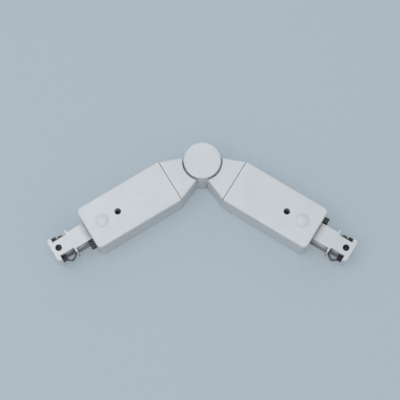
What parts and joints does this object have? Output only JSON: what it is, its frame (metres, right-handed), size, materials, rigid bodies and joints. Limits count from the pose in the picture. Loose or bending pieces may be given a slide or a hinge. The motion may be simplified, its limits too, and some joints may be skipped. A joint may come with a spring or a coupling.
{
  "type": "track pivot joint",
  "caption": "Pivoting joint that links lighting tracks at an adjustable angle, with plug-in arms on a hollow pivot under a round cap.",
  "frame": {"origin": "centre of the back of the pivot, on the pivot axis, where the joint lies on its mounting surface", "axes": "+Z along the pivot axis from the back to the round cap, +X across from the left arm to the right arm, +Y to the outside of the bend"},
  "size_m": [0.2402, 0.0935, 0.035],
  "materials": {
    "housing_plastic": "fine moulded texture",
    "carrier_plastic": "smooth moulded",
    "washer_plastic": "slick low-friction",
    "key_plastic": "black moulded",
    "contact_metal": "dark tinned strip",
    "zinc_steel": "bright zinc plate",
    "dark_screw": "black oxide",
    "terminal_brass": "machined",
    "lead_insulation": "silicone"
  },
  "bodies": {
    "left_arm": {"pivot_sleeve": "zinc_steel", "pivot_back_cap": "housing_plastic", "friction_washer": "washer_plastic", "spring_washer": "zinc_steel", "retaining_ring": "dark_screw", "left_housing": "housing_plastic", "left_cover": "housing_plastic", "left_cover_screw": "dark_screw", "left_blanking_plug": "housing_plastic", "left_contact_carrier": "carrier_plastic", "left_carrier_screws": "zinc_steel", "left_phase_1_contact": "contact_metal", "left_phase_2_contact": "contact_metal", "left_phase_3_contact": "contact_metal", "left_neutral_contact": "contact_metal", "left_earth_contact": "contact_metal", "left_terminals": "terminal_brass", "left_terminal_screws": "zinc_steel", "left_leads": "lead_insulation", "left_keying_block": "key_plastic"},
    "right_arm": {"pivot_cap": "housing_plastic", "right_housing": "housing_plastic", "right_cover": "housing_plastic", "right_cover_screw": "dark_screw", "right_blanking_plug": "housing_plastic", "right_contact_carrier": "carrier_plastic", "right_carrier_screws": "zinc_steel", "right_phase_1_contact": "contact_metal", "right_phase_2_contact": "contact_metal", "right_phase_3_contact": "contact_metal", "right_neutral_contact": "contact_metal", "right_earth_contact": "contact_metal", "right_terminals": "terminal_brass", "right_terminal_screws": "zinc_steel", "right_leads": "lead_insulation", "right_keying_block": "key_plastic"},
    "left_clamp_screw": {"left_clamp_screw": "dark_screw"},
    "left_clamp_plate": {"left_clamp_plate": "dark_screw"},
    "right_clamp_screw": {"right_clamp_screw": "dark_screw"},
    "right_clamp_plate": {"right_clamp_plate": "dark_screw"}
  },
  "joints": [
    {"name": "pivot_swing", "type": "hinge", "parent": "left_arm", "child": "right_arm", "pos_m": [0, 0, 0], "axis": [0, 0, 1], "range_deg": [-27, 153]},
    {"name": "left_clamp_turn", "type": "hinge", "parent": "left_arm", "child": "left_clamp_screw", "pos_m": [-0.11127, -0.06819, 0.0236], "axis": [0, 0, -1], "range_deg": [0, 720]},
    {"name": "left_clamp_lift", "type": "slide", "parent": "left_arm", "child": "left_clamp_plate", "axis": [0, 0, 1], "range_m": [0, 0.0016]},
    {"name": "right_clamp_turn", "type": "hinge", "parent": "right_arm", "child": "right_clamp_screw", "pos_m": [0.11127, -0.06819, 0.0236], "axis": [0, 0, -1], "range_deg": [0, 720]},
    {"name": "right_clamp_lift", "type": "slide", "parent": "right_arm", "child": "right_clamp_plate", "axis": [0, 0, 1], "range_m": [0, 0.0016]}
  ],
  "couplings": [
    {"joint": "left_clamp_turn", "follows": "left_clamp_lift", "rad_per_m": 7854},
    {"joint": "right_clamp_turn", "follows": "right_clamp_lift", "rad_per_m": 7854}
  ]
}
